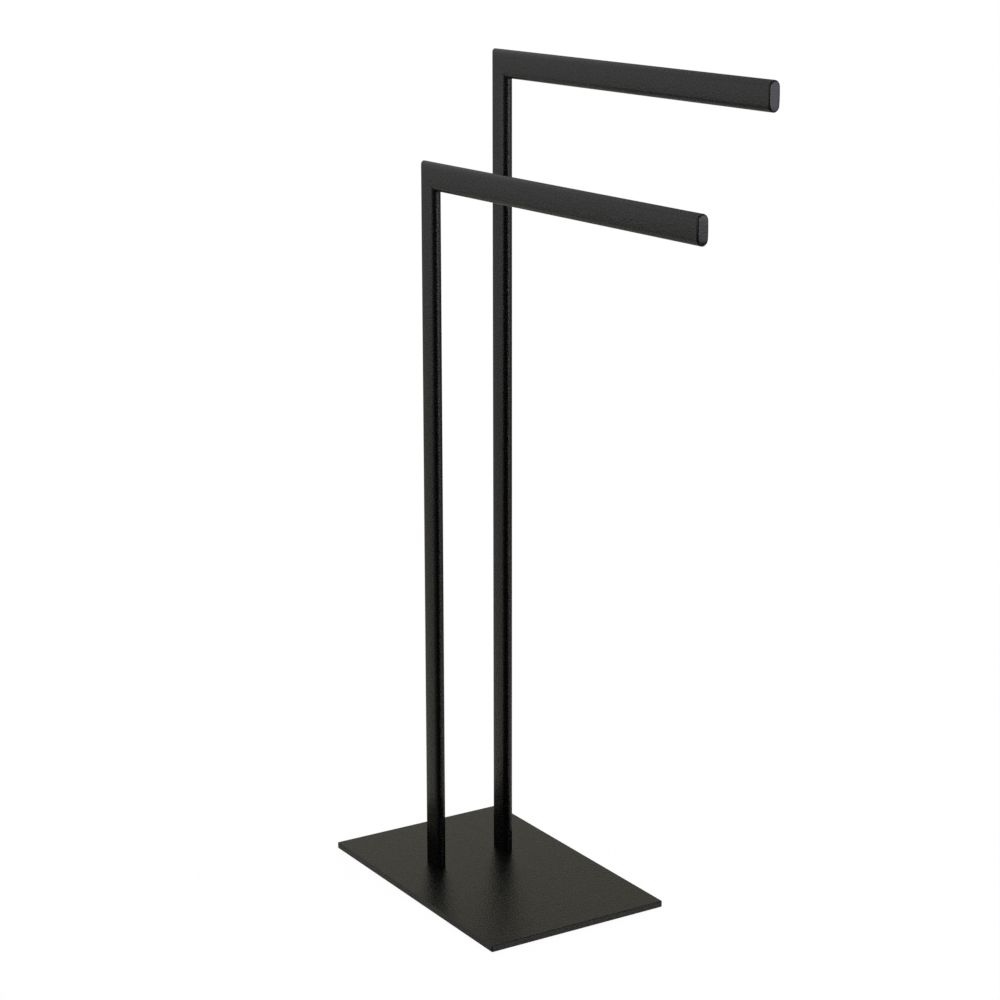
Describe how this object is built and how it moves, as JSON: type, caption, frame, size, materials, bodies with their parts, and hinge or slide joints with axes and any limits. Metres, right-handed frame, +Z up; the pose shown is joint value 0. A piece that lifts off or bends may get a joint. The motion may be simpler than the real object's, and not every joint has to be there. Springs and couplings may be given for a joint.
{
  "type": "freestanding towel stand",
  "caption": "Freestanding towel stand: flat-oval steel posts at two heights, each with a level arm to one side, screwed to a flat rectangular base plate on rubber feet.",
  "frame": {"origin": "on the floor, in the middle of the stand's overall length (plate's left edge to the lower arm's end) and of its width", "axes": "+Z up from the floor; +X along both arms, away from their posts; +Y from the lower (front) frame to the upper (back) frame"},
  "size_m": [0.549, 0.203, 0.847],
  "materials": {
    "powder_coat_black": "semi-matte black powder coat with a fine grain, over mild steel",
    "cap_plastic_black": "satin black moulded plastic, a little smoother than the coat",
    "insert_steel": "plain machined steel, welded in before coating",
    "screw_steel": "black-oxide steel",
    "foot_rubber": "matte black rubber"
  },
  "bodies": {
    "root": {"base_plate": "powder_coat_black", "lower_post": "powder_coat_black", "lower_arm": "powder_coat_black", "upper_post": "powder_coat_black", "upper_arm": "powder_coat_black", "lower_arm_end_cap": "cap_plastic_black", "upper_arm_end_cap": "cap_plastic_black", "lower_post_insert": "insert_steel", "upper_post_insert": "insert_steel", "lower_post_screw_left": "screw_steel", "lower_post_screw_right": "screw_steel", "upper_post_screw_left": "screw_steel", "upper_post_screw_right": "screw_steel", "foot_front_left": "foot_rubber", "foot_front_right": "foot_rubber", "foot_back_left": "foot_rubber", "foot_back_right": "foot_rubber"}
  },
  "joints": []
}
